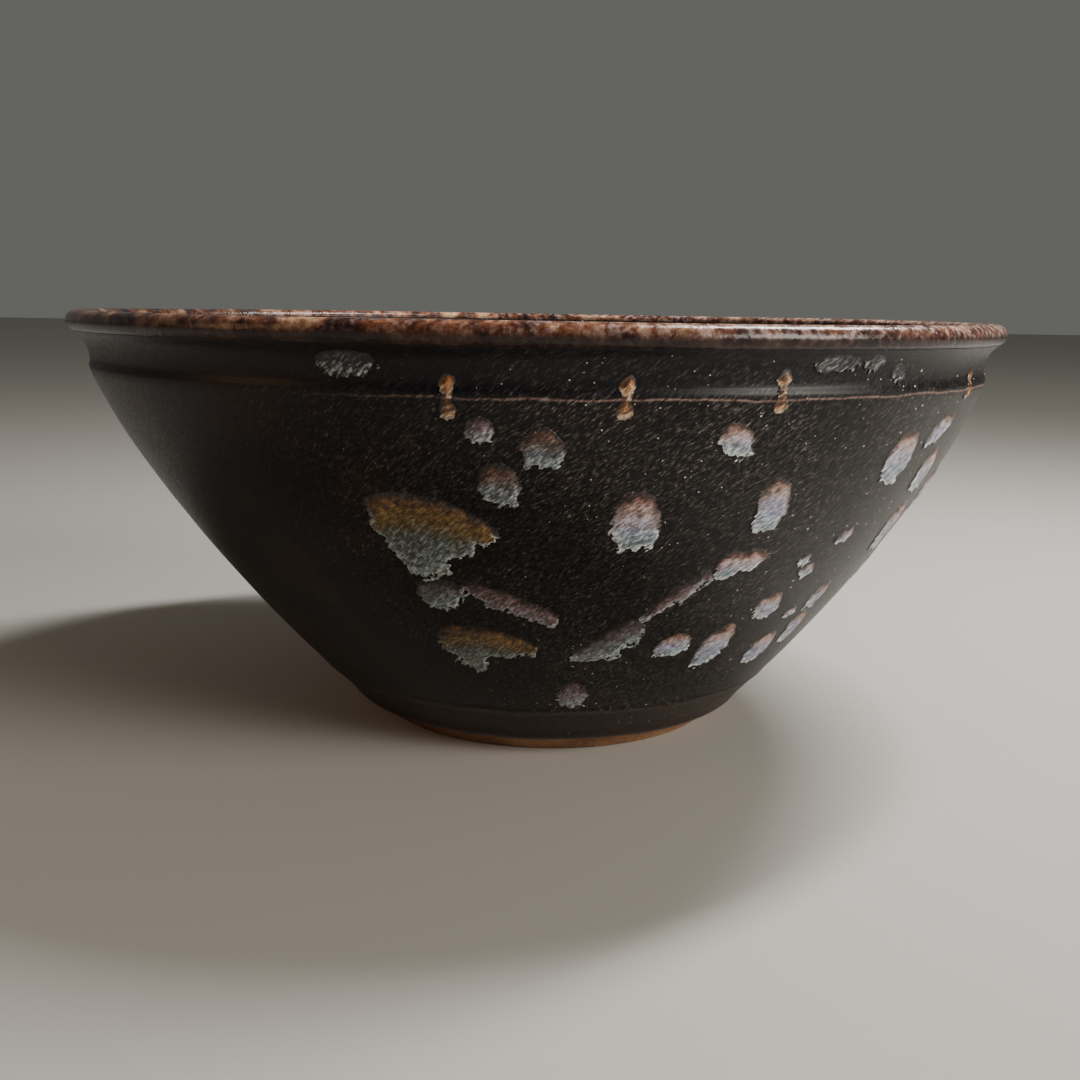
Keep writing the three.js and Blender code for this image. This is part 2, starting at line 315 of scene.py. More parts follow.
# %% [markdown]
# ## The clay
#
# Only the foot shows the clay: the turned ring, the recess inside it and a narrow band above.
# The turning tool leaves crisp arrises that wear soft, so the corners of the section are
# rounded before it is spun. The rest of the body hides under the glaze.

# %% The clay body
CLAY_CORNER = math.radians(25)
WORN = 0.5 * MM  # how far the arrises of the foot are worn
BARE = 3 * MM  # how far above the glaze's edge the clay's section is still made fine
glaze_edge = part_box("outside_glaze")[0].z


def clay_outline():
    """The clay's section, fine where it shows and as it is under the glaze."""
    path = section("clay_body")
    outline = []
    for i, here in enumerate(path):
        inner = 0 < i < len(path) - 1
        sharp = inner and turning(path[i - 1], here, path[i + 1]) > CLAY_CORNER
        if sharp and here.y < glaze_edge + BARE:
            outline += arc(path[i - 1], here, path[i + 1], WORN, 5)
        else:
            outline.append(here)
    return outline


def reshape(obj, change):
    """Moves each vertex of an upright piece by change(position, turn) and then leans it."""
    for v in obj.data.vertices:
        turn = math.atan2(v.co.x, -v.co.y)
        v.co = change(v.co.copy(), turn)
    obj.data.transform(LEAN)
    obj.data.update()


clay = spun("clay", clay_outline(), closed=False)
clay.data.transform(LEAN)
print("clay:", len(clay.data.polygons), "faces")

# %% [markdown]
# ## The coats of black glaze
#
# The glaze is poured inside, dipped outside, and the two meet on the lip. Each coat is spun and
# then swollen by the same hand-thrown waves as its neighbours, so that they still nest. Melted
# glaze also runs: it gathers in a thick roll where it stops above the foot, and that edge
# wavers. Both are real shape here, because they catch the light.

# %% The coats
ROLL = 0.28 * MM  # how far the roll of glaze stands out above the bare foot
ROLL_WIDTH, ROLL_HEIGHT = 1.6 * MM, 0.7 * MM
WAVER = 0.55 * MM  # how far the glaze edge wanders up and down
WAVER_HEIGHT = 2.5 * MM  # how far up the wall that is still felt
FOLD = 0.16 * MM  # a second, fainter fold in the glaze above the roll
FOLD_WIDTH, FOLD_HEIGHT = 0.5 * MM, 6.2 * MM
STEADY = 3 * MM  # the swells come in over this height, so that the edge stays on the clay
SINK = 0.18 * MM  # how far the lip sinks here and there
LIP_HALF = 1 * MM  # the sinking grows from this far below the widest ring to this far above
WALL_OUT, WALL_UP = 0.69, 0.72  # the way up the lower wall, as a direction
FLOOR_TOP, FULL_SWELL = 20 * MM, 60 * MM  # inside, the swells grow between these heights


def bell(x, width):
    """A smooth bump, 1 high at 0."""
    return math.exp(-((x / width) ** 2))


def edge_waver(turn):
    """How far the glaze's lower edge is above its mean height."""
    around = Vector((math.cos(turn), math.sin(turn), 3.0))
    return WAVER * (noise.noise(around * 2.1) + 0.4 * noise.noise(around * 6.0))


def outside_shape(co, turn):
    """Swells the outside coat, with the roll and the wavering edge above the foot."""
    height = co.z - glaze_edge
    out = swell(turn, co.z) * min(1, height / STEADY)
    outward = Vector((math.sin(turn), -math.cos(turn), 0))
    off_wall = outward * WALL_UP - Vector((0, 0, WALL_OUT))
    uphill = outward * WALL_OUT + Vector((0, 0, WALL_UP))
    roll = ROLL * bell(height - ROLL_HEIGHT, ROLL_WIDTH / 2)
    fold = FOLD * bell(height - FOLD_HEIGHT - 2 * edge_waver(turn), FOLD_WIDTH)
    rise = edge_waver(turn) * bell(height, WAVER_HEIGHT)
    return co + outward * out + off_wall * (roll + fold) + uphill * rise


def lip_shape(co, turn):
    """Swells the lip, and lets it sink a little here and there as a hand-thrown lip does."""
    around = Vector((math.cos(turn), math.sin(turn), 0)) * 1.6
    sink = SINK * (noise.noise(around + Vector((0, 0, 5))) - 0.6)
    outward = Vector((math.sin(turn), -math.cos(turn), 0))
    pull = swell(turn, co.z)
    top = max(0.0, min(1.0, (co.z - LIP_Z + LIP_HALF) / (2 * LIP_HALF)))
    return co + outward * pull + Vector((0, 0, sink * top))


def inside_shape(co, turn):
    """Swells the inside coat less and less towards the floor, where the bowl is thick."""
    outward = Vector((math.sin(turn), -math.cos(turn), 0))
    share = min(1, max(0, (co.z - FLOOR_TOP) / (FULL_SWELL - FLOOR_TOP)))
    return co + outward * swell(turn, co.z) * share


print(f"the glaze's edge is {glaze_edge / MM:.1f} mm above the floor")

# %% The three coats
outside = finished_coat("outside_coat", "outside_glaze", 0.5 * MM)
reshape(outside, outside_shape)
lip = finished_coat("lip_coat", "lip_glaze", 0.2 * MM)
reshape(lip, lip_shape)
inside = finished_coat("inside_coat", "inside_glaze", 0.8 * MM)
reshape(inside, inside_shape)
for coat in (outside, lip, inside):
    print(coat.name, len(coat.data.polygons), "faces")

# %% [markdown]
# ## A ruler for the pattern
#
# The fine streaks in the glaze climb the wall aslant, all round the bowl. A pattern on plain
# coordinates can't follow a cone, and a UV map would show a seam at the back. So each vertex
# carries a vector named `flow`: its place on a cylinder that is twisted as it climbs. A streak
# is then just a pattern that is stretched along that cylinder's height, and it has no seam.
# `down` holds the distance below the lip, for whatever changes with height.

# %% Flow
TWIST = 0.9  # how far a streak goes round for each length that it climbs
FLOW_RADIUS = 62 * MM


def add_values(obj, name, kind, values):
    """Stores one value per vertex under a name that a material can read."""
    store = obj.data.attributes.new(name, kind, "POINT")
    field = "vector" if kind == "FLOAT_VECTOR" else "value"
    store.data.foreach_set(field, np.asarray(values, np.float32).ravel())


def add_flow(obj, within=False):
    """Stores flow and down. Within the bowl, the cylinder closes to a dome at the middle."""
    flow, down = [], []
    for v in obj.data.vertices:
        co = UPRIGHT @ v.co
        turn = math.atan2(co.x, -co.y)
        below = float(np.interp(-co.z, -face_z, face_down))
        angle = turn + TWIST * below / FLOW_RADIUS
        radius = FLOW_RADIUS
        if within:
            radius *= math.tanh(math.hypot(co.x, co.y) / FLOW_RADIUS)
        flow.append((math.sin(angle) * radius, math.cos(angle) * radius, below))
        down.append(FACE_LENGTH / 2 if within else below)
    add_values(obj, "flow", "FLOAT_VECTOR", flow)
    add_values(obj, "down", "FLOAT", down)


for coat in (outside, lip, inside):
    add_flow(coat, within=coat is inside)
print("flow on the coats")

# %% [markdown]
# ## The islands of ash glaze
#
# Where the second glaze landed it stands as a thin island. Its head melts softly into the black,
# and its lower edge freezes in crystals, like frost. The CAD gives each island's outline. Here
# a fine **grid** is laid over it, each corner is given its distance inside the outline, and
# noise eats into that distance, much more below than above. Faces that end up outside are
# deleted, the rest are wrapped on the wall and **Solidify** gives them a body.
#
# Subdividing the CAD patch and jittering its edge was the other way, but an outline that is
# pushed about can't break up into crumbs and bays, and this one can.

# %% Outlines of the CAD islands
CELL = 0.12 * MM
MARGIN = 1.0 * MM


def island_outline(node):
    """An island's outline as (turn, down) points in order, from the edge of its top face."""
    bm = merged(node)
    bm.normal_update()
    middle = sum((v.co for v in bm.verts), Vector()) / len(bm.verts)
    outward = Vector((middle.x, middle.y, -math.hypot(middle.x, middle.y) * 0.7)).normalized()
    top = {f for f in bm.faces if f.normal.dot(outward) > 0.45}
    rim = {e for f in top for e in f.edges if sum(g in top for g in e.link_faces) == 1}
    line = {v for e in rim for v in e.verts}
    here = min(line, key=lambda v: v.co.z)
    path, used = [here], set()
    while True:
        onward = [e for e in here.link_edges if e in rim and e not in used]
        if not onward:
            break
        used.add(onward[0])
        here = onward[0].other_vert(here)
        path.append(here)
    points = [(math.atan2(v.co.x, -v.co.y), how_far_down(v.co)) for v in path[:-1]]
    bm.free()
    return np.array(points)


def cut_corners(loop, times):
    """Rounds a closed outline by cutting its corners again and again."""
    for _ in range(times):
        after = np.roll(loop, -1, axis=0)
        loop = np.stack([0.75 * loop + 0.25 * after, 0.25 * loop + 0.75 * after], 1)
        loop = loop.reshape(-1, 2)
    return loop


def depth_inside(points, loop):
    """How far each point is inside a closed outline; it is negative outside."""
    a, b = loop, np.roll(loop, -1, axis=0)
    nearest = np.full(len(points), np.inf)
    inside_it = np.zeros(len(points), bool)
    for start, end in zip(a, b):
        side = end - start
        share = np.clip(((points - start) @ side) / (side @ side), 0, 1)
        gap = points - start - share[:, None] * side
        nearest = np.minimum(nearest, np.hypot(gap[:, 0], gap[:, 1]))
        crosses = (start[1] > points[:, 1]) != (end[1] > points[:, 1])
        with np.errstate(divide="ignore", invalid="ignore"):
            where = start[0] + (points[:, 1] - start[1]) * side[0] / side[1]
        inside_it ^= crosses & (points[:, 0] < where)
    return np.where(inside_it, nearest, -nearest)


print("the fan's outline has", len(island_outline("splash_fan")), "corners")

# %% [markdown]
# Each island is made by the same function. What differs is how far the gradient from head to
# tail follows the island's own top edge: on a broad fan or a slanting streak the head is a band
# all along the top, and on a drop it is only the crown.

# %% Sizes of the islands
LIFT = 0.26 * MM  # how far an island stands out in the middle
HEAD_LIFT, TAIL_LIFT = 0.02 * MM, 0.12 * MM  # and at its upper and lower edge
BODY = 0.16 * MM  # solidified thickness
BITE = 0.95 * MM  # how far the crystals reach at the lower edge
BAY, TOOTH, CRYSTAL = 1.3 * MM, 0.5 * MM, 0.26 * MM  # sizes of what is eaten into the edge
SPREAD = 0.22 * MM  # how far the melt spreads beyond the CAD's outline
SPREADS = {"streak_low": 1.0 * MM, "streak": 0.5 * MM, "tail": 0.5 * MM, "lobe": 0.6 * MM,
           "run": 0.1 * MM}  # the pieces that spread more or less, by a word in their names
SLANT = math.atan(1 / TWIST)  # the streaks' angle above the level
WIDE_ISLAND = 4 * MM  # islands wider than this are eaten more, and narrower ones less
EDGE_SLOPE = 1.1 * MM  # from the edge to where the lift is whole
SMALLEST_CRUMB = 6  # faces
BAND_HEADS = ("fan", "bar", "streak", "pair", "bloom")
print(f"the streaks climb at {math.degrees(SLANT):.0f} degrees")

# %% Noise and crumbs


def ease(x, low, high):
    """Rises smoothly from 0 at low to 1 at high."""
    t = np.clip((x - low) / (high - low), 0, 1)
    return t * t * (3 - 2 * t)


def rough(points, size, seed, stretch=1.0):
    """Noise from -1 to 1 at each flat point, with features of that size, longer on the slant."""
    along = points[:, 0] * math.cos(SLANT) - points[:, 1] * math.sin(SLANT)
    across = points[:, 0] * math.sin(SLANT) + points[:, 1] * math.cos(SLANT)
    places = zip(along / (size * stretch), across / size)
    return np.array([noise.noise(Vector((a, b, seed))) for a, b in places])


def crumbs(faces, keep_over):
    """The faces that belong to a patch of more than keep_over faces, as indices."""
    by_corner = {}
    for i, face in enumerate(faces):
        for corner in face:
            by_corner.setdefault(corner, []).append(i)
    seen, kept = set(), set()
    for first in range(len(faces)):
        if first in seen:
            continue
        patch, todo = {first}, [first]
        while todo:
            for corner in faces[todo.pop()]:
                for other in by_corner[corner]:
                    if other not in patch:
                        patch.add(other)
                        todo.append(other)
        seen |= patch
        if len(patch) > keep_over:
            kept |= patch
    return kept


print("patches of", SMALLEST_CRUMB, "faces or fewer are left out")

# %% The grid and its slopes


def laid_flat(node):
    """An island's outline unrolled from the wall, in metres, and the turn at its middle."""
    outline = island_outline(node)
    middle_turn = outline[:, 0].mean()
    radius = np.interp(outline[:, 1], face_down, face_r)
    flat = np.stack([(outline[:, 0] - middle_turn) * radius, outline[:, 1]], 1)
    return cut_corners(flat, 2), middle_turn


def grid_over(name, flat):
    """A grid that covers a flat outline, its corners' places, and its rows and columns."""
    low, high = flat.min(0) - MARGIN, flat.max(0) + MARGIN
    across, along = (int(n) for n in np.ceil((high - low) / CELL))
    bpy.ops.object.select_all(action="DESELECT")
    bpy.ops.mesh.primitive_grid_add(x_subdivisions=across, y_subdivisions=along, size=1)
    obj = bpy.context.object
    obj.name = obj.data.name = name
    unit = np.array([v.co[:2] for v in obj.data.vertices]) + 0.5
    return obj, low + unit * (high - low), (along + 1, across + 1)


def slopes(values, spots, shape):
    """How fast a value grows across and down the grid, at each corner."""
    rows = np.lexsort((spots[:, 0].round(9), spots[:, 1].round(9)))
    down, across = (g.ravel() / CELL for g in np.gradient(values[rows].reshape(shape)))
    return np.stack([across, down], 1)[np.argsort(rows)]


print("the grid's cells are", round(CELL / MM, 2), "mm")

# %% The edge and the swelling of an island


def eaten(plain, tail, spots, node, seed, size):
    """The depth inside an island, once it has spread and crystals have eaten into its edge."""
    breadth = min(2.2, size / WIDE_ISLAND)
    spread = next((v for k, v in SPREADS.items() if k in node), SPREAD)
    bite = BITE * (0.3 + 0.7 * tail) * (0.45 if node.startswith("run") else 1)
    ragged = 0.7 * breadth * rough(spots, BAY * breadth, seed)
    ragged += 0.75 * rough(spots, TOOTH, seed + 3, 1.8) * min(1, breadth)
    ragged += 0.5 * rough(spots, CRYSTAL, seed + 9, 1.6)
    return plain + spread + bite * ragged


def drawn_in(spots, depth, slope):
    """Pulls the corners just outside the edge on to it, so that the edge has no steps."""
    pull = -np.minimum(depth, 0) / np.maximum((slope**2).sum(1), 0.3)
    pull = np.minimum(pull, 0.8 * CELL / np.maximum(np.hypot(*slope.T), 0.5))
    return np.where((depth < 0)[:, None], spots + slope * pull[:, None], spots)


def top_edge(flat):
    """The upper edge of a flat outline: positions across it, and the least down at each."""
    xs = np.linspace(flat[:, 0].min(), flat[:, 0].max(), 40)
    ends = np.roll(flat, -1, axis=0)
    tops = []
    for x in xs:
        hits = []
        for (x0, y0), (x1, y1) in zip(flat, ends):
            if (x0 - x) * (x1 - x) <= 0 and x0 != x1:  # this side spans x
                hits.append(y0 + (x - x0) * (y1 - y0) / (x1 - x0))
        tops.append(min(hits) if hits else flat[:, 1].mean())
    return xs, tops


def from_head(spots, flat, node):
    """0 at an island's head and 1 at its tail."""
    length = flat[:, 1].max() - flat[:, 1].min()
    by_row = (spots[:, 1] - flat[:, 1].min()) / length
    by_band = (spots[:, 1] - np.interp(spots[:, 0], *top_edge(flat))) / length
    follow = 0.85 if any(word in node for word in BAND_HEADS) else 0.35
    return np.clip((1 - follow) * by_row + follow * by_band, 0, 1)


def standing_out(depth, tail, spots, seed):
    """How far an island stands out: little at its melted head, most in its middle."""
    rise = HEAD_LIFT + (TAIL_LIFT - HEAD_LIFT) * tail
    rise = rise + (LIFT - rise) * ease(depth, 0, EDGE_SLOPE)
    return rise + 0.06 * MM * rough(spots, 0.4 * MM, seed + 5, 2.5) * ease(depth, 0, 0.5 * MM)


print("an island stands out by up to", round(LIFT / MM, 2), "mm")

# %% Cutting an island out


def delete_faces(obj, unwanted):
    """Deletes the faces that are marked True, with their loose edges and corners."""
    only(obj)
    bpy.context.tool_settings.mesh_select_mode = (False, False, True)
    bpy.ops.object.mode_set(mode="EDIT")
    bpy.ops.mesh.select_all(action="DESELECT")
    bpy.ops.object.mode_set(mode="OBJECT")
    obj.data.polygons.foreach_set("select", unwanted)
    bpy.ops.object.mode_set(mode="EDIT")
    bpy.ops.mesh.delete(type="FACE")
    bpy.ops.object.mode_set(mode="OBJECT")


def face_outwards(obj):
    """Turns an open patch round if it faces the bowl's axis."""
    first = obj.data.polygons[0]
    away = Vector((first.center.x, first.center.y, 0))
    if first.normal.dot(away) < 0:
        obj.data.flip_normals()


def make_island(node, seed):
    """One island: a grid cut to a ragged outline, wrapped on the wall and given a body."""
    flat, middle_turn = laid_flat(node)
    obj, spots, shape = grid_over(node + "_glaze", flat)
    plain = depth_inside(spots, flat)
    tail = ease(0.5 - slopes(plain, spots, shape)[:, 1], 0.25, 1.0)
    depth = eaten(plain, tail, spots, node, seed, (flat.max(0) - flat.min(0)).min())
    spots = drawn_in(spots, depth, slopes(depth, spots, shape))

    reach = np.interp(spots[:, 1], face_down, face_r)
    rise = standing_out(depth, tail, spots, seed)
    for v, spot, r, lift in zip(obj.data.vertices, spots, reach, rise):
        v.co = on_face(middle_turn + spot[0] / r, spot[1], lift)
    add_values(obj, "depth", "FLOAT", np.clip(depth, 0, None))
    add_values(obj, "fall", "FLOAT", from_head(spots, flat, node))
    add_values(obj, "tail", "FLOAT", tail)

    faces = [tuple(p.vertices) for p in obj.data.polygons]
    wet = [i for i, f in enumerate(faces) if sum(depth[c] > 0 for c in f) >= 2]
    kept = {wet[i] for i in crumbs([faces[i] for i in wet], SMALLEST_CRUMB)}
    delete_faces(obj, [i not in kept for i in range(len(faces))])
    face_outwards(obj)
    body = obj.modifiers.new("body", "SOLIDIFY")
    body.thickness = BODY
    body.offset = -1
    apply_all(obj)
    bpy.ops.object.shade_smooth()
    add_flow(obj)
    return obj


# %% All the islands
island_nodes = sorted(n for n in NODES if n.startswith(("splash", "run", "fleck", "bloom")))
islands = {node: make_island(node, 11.3 * i) for i, node in enumerate(island_nodes)}
print(len(islands), "islands,", sum(len(o.data.polygons) for o in islands.values()), "faces")

# %% [markdown]
# ## Adding nodes
#
# Every finish is built from nodes, with one small function that adds a node, sets it and links
# its inputs. It gives back the node's result, ready to be the next node's input. A colour is
# written as the sRGB hex value a colour picker shows, and one function turns it into the linear
# light values that Blender works in.

# %% Helpers for materials


def linear(code):
    """Linear RGBA from an sRGB hex code."""
    parts = [int(code[i : i + 2], 16) / 255 for i in (1, 3, 5)]
    return [*(c / 12.92 if c < 0.04045 else ((c + 0.055) / 1.055) ** 2.4 for c in parts), 1]


def add(tree, kind, inputs=None, stops=None, result=0, **settings):
    """Adds a node with its settings, and returns one of its outputs.

    The kind is Blender's name for the node, less its first word. Each input is a value, or
    another node's output to link from. A colour ramp's stops are (position, hex colour).
    """
    node = tree.nodes.new("ShaderNode" + kind)
    for name, value in settings.items():
        setattr(node, name, value)
    if stops:
        marks = node.color_ramp.elements
        marks.remove(marks[-1])
        marks[0].position, marks[0].color = stops[0][0], linear(stops[0][1])
        for position, code in stops[1:]:
            marks.new(position).color = linear(code)
    for name, value in (inputs or {}).items():
        if isinstance(value, bpy.types.NodeSocket):
            tree.links.new(value, node.inputs[name])
        else:
            node.inputs[name].default_value = value
    return node.outputs[result]


# A Mix node has sockets for every kind of value. With these settings it mixes colours: input 0
# is the factor, inputs 6 and 7 are the two colours, and output 2 is the result.
COLOURS = {"data_type": "RGBA", "result": 2}


def shader(name, values):
    """A new material, its tree and its Principled BSDF, with values set on that one's sockets."""
    material = bpy.data.materials.new(name)
    material.use_nodes = True
    tree = material.node_tree
    bsdf = tree.nodes["Principled BSDF"]
    for socket, value in values.items():
        bsdf.inputs[socket].default_value = value
    return material, tree, bsdf


def finish_with(tree, bsdf, colour, roughness, height, depth):
    """Links a colour, a roughness and a bump of that depth to the shader."""
    bump = add(tree, "Bump", {"Height": height, "Distance": depth})
    tree.links.new(colour, bsdf.inputs["Base Color"])
    tree.links.new(roughness, bsdf.inputs["Roughness"])
    tree.links.new(bump, bsdf.inputs["Normal"])


print("mid grey #808080 is", [round(c, 3) for c in linear("#808080")[:3]], "in linear light")

# %% [markdown]
# ## Black iron glaze
#
# This is a tenmoku: a glaze with about a tenth of iron oxide, melted thick. It is glassy, so it
# has a dielectric's IOR of about 1.5 and a low roughness. Under the gloss it isn't flat black.
# Fine brown hairs run through it on the slant, tiny pale crystals have come out in it, and at
# the ridge, where it is thin, it breaks to a pinkish brown. The hairs and crystals are painted
# paler and larger towards the right as painted light, and the neck has a bluer painted
# reflection.
#
# The nodes that make its colour are one function, because the same black shows through at the
# soft heads of the ash islands.
#
# In a glaze like this the hairs can be a tenth of a millimetre apart, and most crystals are
# finer still. Neither would show from here, so both are drawn as coarse as they need to show.

# %% Sizes in the black glaze
HAIR = 0.3 * MM  # spacing of the hairs across their length
HAIR_STRETCH = 0.48  # how fast they change along it, as a share of how fast across
SPECK = 0.95 * MM  # spacing of the pale crystals
CLOUD = 14 * MM  # size of the browner and blacker patches
# Painted light: from SHADED on the left to LIT on the right, the hairs and crystals are painted paler
# and larger.
SHADED, LIT = -45 * MM, 20 * MM  # from where on the left to where on the right crystals thicken
WANDER = 5 * MM  # the length over which the line at the ridge drifts up and down
DRIFT = 0.5 * MM  # how far it drifts
RIDGE_BELOW_LIP = 7.4 * MM
RIDGE_LINE, FOLD_LINE = 0.24 * MM, 0.6 * MM  # half the width of each line where glaze is thin
RIDGE_DOWN = float(face_down[np.argmin(np.abs(face_z - (LIP_Z - RIDGE_BELOW_LIP)))])
FOLD_DOWN = float(face_down[np.argmin(np.abs(face_z - (glaze_edge + FOLD_HEIGHT)))])
print(f"the ridge is {RIDGE_DOWN / MM:.1f} mm down the face, the fold {FOLD_DOWN / MM:.1f} mm")

# %% The black glaze's nodes


def band(tree, value, middle, width):
    """1 at the middle of a band of values and 0 outside it."""
    off = add(tree, "Math", {0: value, 1: middle}, operation="SUBTRACT")
    far = add(tree, "Math", {0: off}, operation="ABSOLUTE")
    return add(tree, "MapRange", {"Value": far, "From Max": width, "To Min": 1.0, "To Max": 0.0},
               interpolation_type="SMOOTHSTEP")


def black_glaze(tree):
    """Adds the black glaze's nodes and returns its colour, roughness and height."""
    flow = add(tree, "Attribute", result="Vector", attribute_name="flow")
    down = add(tree, "Attribute", result="Fac", attribute_name="down")
    place = add(tree, "TexCoord", result="Object")
    side = add(tree, "SeparateXYZ", {0: place}, result="X")

    # Black and deep brown in clouds, with paler hairs over both.
    drawn = add(tree, "Mapping", {"Vector": flow, "Scale": (1, 1, HAIR_STRETCH)})
    hairs = add(tree, "TexNoise", {"Vector": drawn, "Scale": 1 / HAIR, "Detail": 4.0,
                "Roughness": 0.72})
    clouds = add(tree, "TexNoise", {"Vector": place, "Scale": 1 / CLOUD, "Detail": 3.0,
                 "Roughness": 0.55})
    # Painted light: the hairs show and the crystals grow towards the right, where the key lamp falls,
    # and fade as painted shade on the left.
    lit_side = add(tree, "MapRange", {"Value": side, "From Min": SHADED, "From Max": LIT,
                   "To Min": 0.08})
    body = add(tree, "ValToRGB", {"Fac": hairs}, stops=[
        (0.38, "#030202"), (0.5, "#0e0c0b"), (0.56, "#2d2927"), (0.64, "#66605b"),
        (0.76, "#b3aca6")])
    deep = add(tree, "ValToRGB", {"Fac": clouds}, stops=[
        (0.38, "#050303"), (0.5, "#0b0605"), (0.66, "#1e0f0a")])
    patchy = add(tree, "MapRange", {"Value": clouds, "From Min": 0.35, "From Max": 0.62, "To Min": 0.5,
                 "To Max": 0.95})
    haired = add(tree, "Math", {0: lit_side, 1: patchy}, operation="MULTIPLY")
    colour = add(tree, "Mix", {0: haired, 6: deep, 7: body}, **COLOURS)

    # The neck, above the ridge, is painted a bluer black: a painted reflection of the pale room on its
    # gloss.
    painted_neck_sheen = add(tree, "MapRange", {"Value": down, "From Min": RIDGE_DOWN - 0.8 * MM,
               "From Max": RIDGE_DOWN, "To Min": 0.6, "To Max": 0.0})
    colour = add(tree, "Mix", {0: painted_neck_sheen, 6: colour, 7: linear("#121116")}, **COLOURS)

    # Crystals: one round spot in each cell, few of them large, and painted larger towards the right as
    # painted light.
    spots = add(tree, "TexVoronoi", {"Vector": place, "Scale": 1 / SPECK})
    chance = add(tree, "SeparateColor", {0: spots.node.outputs["Color"]})
    size = add(tree, "Math", {0: chance, 1: 2.0}, operation="POWER")
    crowd = add(tree, "MapRange", {"Value": clouds, "From Min": 0.35, "From Max": 0.65, "To Min": 0.08,
                "To Max": 0.19})
    for share in (crowd, lit_side):
        size = add(tree, "Math", {0: size, 1: share}, operation="MULTIPLY")
    speck = add(tree, "Math", {0: spots, 1: size}, operation="LESS_THAN")
    colour = add(tree, "Mix", {0: speck, 6: colour, 7: linear("#cfc6bb")}, **COLOURS)

    # The ridge's crest, where the glaze is thin, in front and on the right.
    wander = add(tree, "TexNoise", {"Vector": place, "Scale": 1 / WANDER, "Detail": 4.0})
    shift = add(tree, "MapRange", {"Value": wander, "To Min": -DRIFT, "To Max": DRIFT})
    line = add(tree, "Math", {0: down, 1: shift}, operation="ADD")
    ridge = band(tree, line, RIDGE_DOWN, RIDGE_LINE)
    broken = add(tree, "MapRange", {"Value": hairs, "From Min": 0.4, "From Max": 0.6, "To Min": 0.15,
                 "To Max": 0.9})
    front_right = add(tree, "MapRange", {"Value": side, "From Min": -30 * MM, "From Max": 10 * MM})
    for share in (broken, front_right):
        ridge = add(tree, "Math", {0: ridge, 1: share}, operation="MULTIPLY")
    colour = add(tree, "Mix", {0: ridge, 6: colour, 7: linear("#93786e")}, **COLOURS)

    # Below the fold the glaze is browner, and the fold itself catches a paler brown.
    low = add(tree, "MapRange", {"Value": line, "From Min": FOLD_DOWN - 1 * MM,
              "From Max": FOLD_DOWN + 2 * MM, "To Max": 0.55})
    colour = add(tree, "Mix", {0: low, 6: colour, 7: linear("#30231c")}, **COLOURS)
    fold = band(tree, line, FOLD_DOWN, FOLD_LINE)
    fold = add(tree, "Math", {0: fold, 1: broken}, operation="MULTIPLY")
    colour = add(tree, "Mix", {0: fold, 6: colour, 7: linear("#4b3a31")}, **COLOURS)

    roughness = add(tree, "MapRange", {"Value": hairs, "From Min": 0.35, "From Max": 0.7,
                    "To Min": 0.26, "To Max": 0.5})
    height = add(tree, "Math", {0: hairs, 1: speck}, operation="ADD")
    return colour, roughness, height


# %% The black glaze on its coats
tenmoku, tree, bsdf = shader("Black iron glaze", {"IOR": 1.5, "Specular IOR Level": 0.2})
finish_with(tree, bsdf, *black_glaze(tree), 0.03 * MM)
for coat in (outside, inside):
    coat.data.materials.append(tenmoku)
print(tenmoku.name, "has", len(tree.nodes), "nodes")

# %% [markdown]
# ## The lip
#
# Glaze runs off an edge in the fire and is left thin there. Thin iron glaze has had more air,
# so it turns from black to rust and plum, with pale pink where ash has settled on top, and a
# few cream chips. The colours are a patchy mix at three sizes, pinker and greyer on the side
# that also has the crystals.

# %% The lip's colours
PATCH = 5 * MM
GRAIN = 1.1 * MM
CHIP = 9 * MM  # from one cream chip to the next

rust, tree, bsdf = shader("Iron glaze broken to rust", {"IOR": 1.5, "Specular IOR Level": 0.3})
place = add(tree, "TexCoord", result="Object")
to_right = add(tree, "SeparateXYZ", {0: place}, result="X")
patches = add(tree, "TexNoise", {"Vector": place, "Scale": 1 / PATCH, "Detail": 5.0,
              "Roughness": 0.65})
grain = add(tree, "TexNoise", {"Vector": place, "Scale": 1 / GRAIN, "Detail": 4.0, "Roughness": 0.6})
warm = add(tree, "ValToRGB", {"Fac": patches}, stops=[
    (0.38, "#1c0e0c"), (0.46, "#4e2a1c"), (0.53, "#8a5232"), (0.63, "#d6b08a")])
pink = add(tree, "ValToRGB", {"Fac": grain}, stops=[
    (0.38, "#26181a"), (0.5, "#6e4f4a"), (0.62, "#cdb4a8")])
pinker = add(tree, "MapRange", {"Value": to_right, "From Min": -20 * MM, "From Max": 40 * MM,
             "To Min": 0.25, "To Max": 0.65})
colour = add(tree, "Mix", {0: pinker, 6: warm, 7: pink}, **COLOURS)
print("the lip's patches are", round(PATCH / MM), "mm across")

# %% The lip's chips, and painted shade under the bead and on the left
cells = add(tree, "TexVoronoi", {"Vector": place, "Scale": 1 / CHIP})
chosen = add(tree, "SeparateColor", {0: cells.node.outputs["Color"]})
size = add(tree, "MapRange", {"Value": chosen, "From Min": 0.6, "To Max": 0.16})
ragged = add(tree, "Math", {0: grain, 1: 0.25}, operation="MULTIPLY")
edge = add(tree, "Math", {0: cells, 1: ragged}, operation="ADD")
chip = add(tree, "Math", {0: edge, 1: size}, operation="LESS_THAN")
colour = add(tree, "Mix", {0: chip, 6: colour, 7: linear("#c9ac8c")}, **COLOURS)

